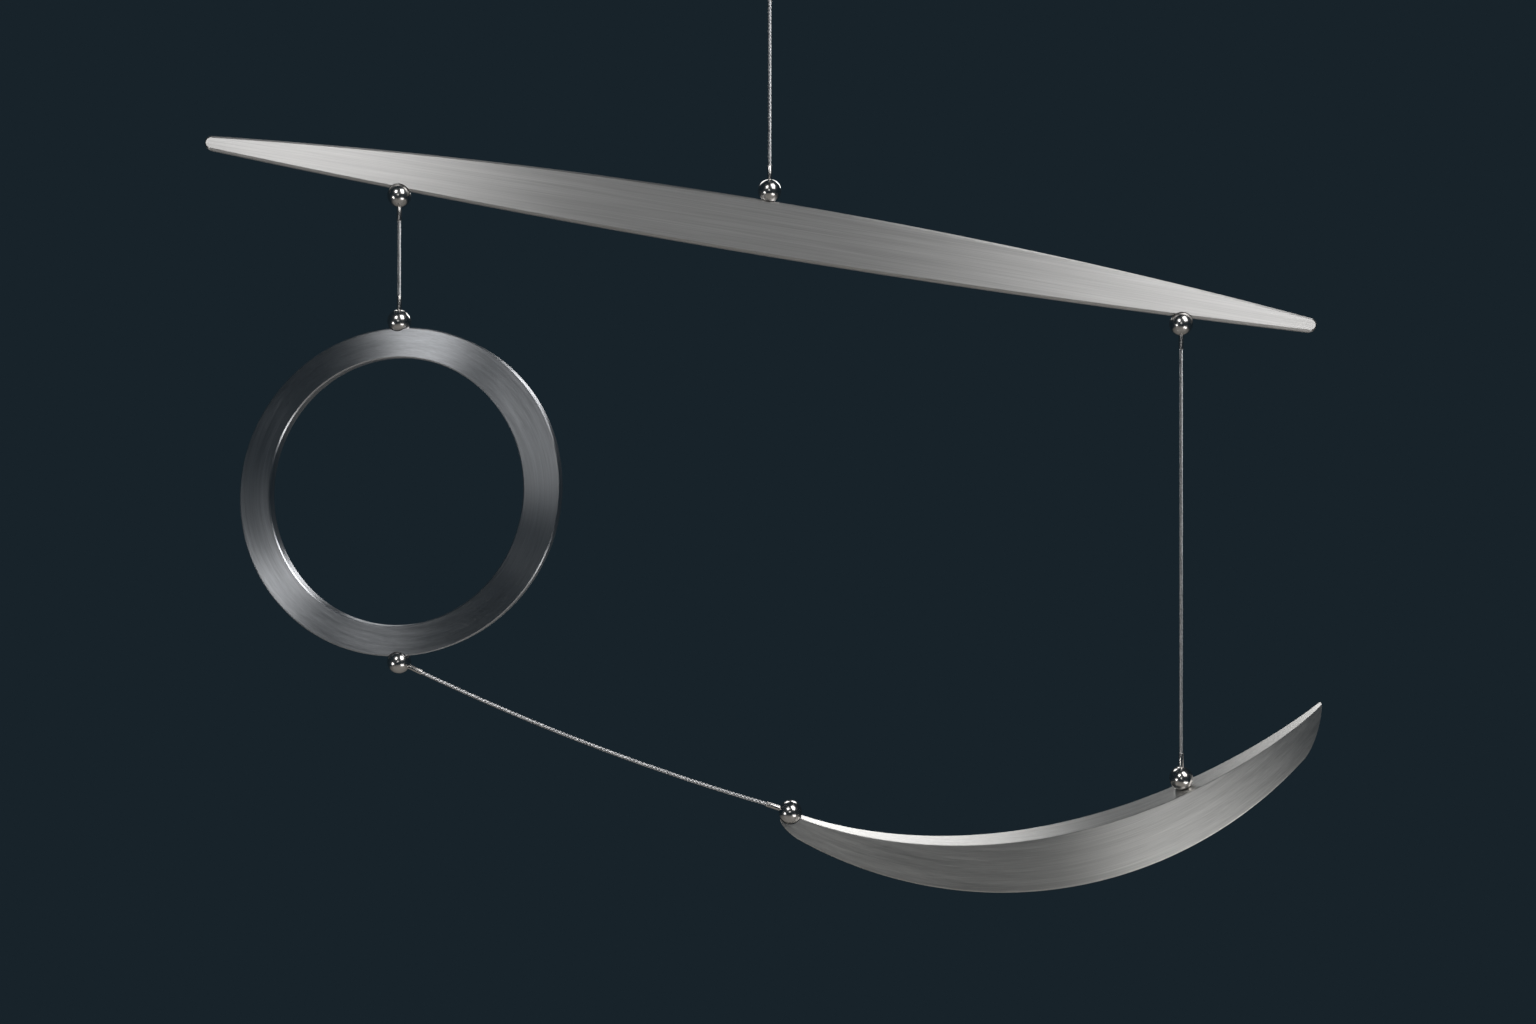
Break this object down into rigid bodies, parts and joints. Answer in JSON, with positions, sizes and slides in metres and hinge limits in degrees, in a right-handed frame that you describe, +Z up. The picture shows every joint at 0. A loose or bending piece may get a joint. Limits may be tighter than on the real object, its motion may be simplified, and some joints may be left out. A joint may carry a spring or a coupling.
{
  "type": "hanging mobile sculpture",
  "caption": "Hanging mobile in stainless steel: a long curved bar on a wire rope carries a flat ring and a crescent, linked by a slack rope, with polished balls at the joins.",
  "frame": {"origin": "middle of the ceiling disc's flat top face, from which the whole mobile hangs", "axes": "+X to the right, from the ring towards the crescent; +Y away from the front; +Z up, out of the ceiling disc's top face. The ropes and balls lie in the plane Y = 0"},
  "size_m": [0.591, 0.036, 0.4942],
  "materials": {
    "brushed_steel": "lengthwise brushed stainless steel, satin",
    "polished_steel": "mirror polished stainless steel",
    "wire_rope": "bright stranded wire rope"
  },
  "bodies": {
    "root": {"ceiling_disc": "brushed_steel", "bar": "brushed_steel", "ring": "brushed_steel", "crescent": "brushed_steel", "ceiling_ball": "polished_steel", "ceiling_ferrule": "polished_steel", "bar_top_ball": "polished_steel", "bar_top_ferrule": "polished_steel", "bar_left_ball": "polished_steel", "bar_left_ferrule": "polished_steel", "bar_right_ball": "polished_steel", "bar_right_ferrule": "polished_steel", "ring_top_ball": "polished_steel", "ring_top_ferrule": "polished_steel", "ring_bottom_ball": "polished_steel", "ring_bottom_ferrule": "polished_steel", "crescent_left_ball": "polished_steel", "crescent_left_ferrule": "polished_steel", "crescent_top_ball": "polished_steel", "crescent_top_ferrule": "polished_steel", "main_cable": "wire_rope", "ring_cable": "wire_rope", "crescent_cable": "wire_rope", "link_cable": "wire_rope"}
  },
  "joints": []
}
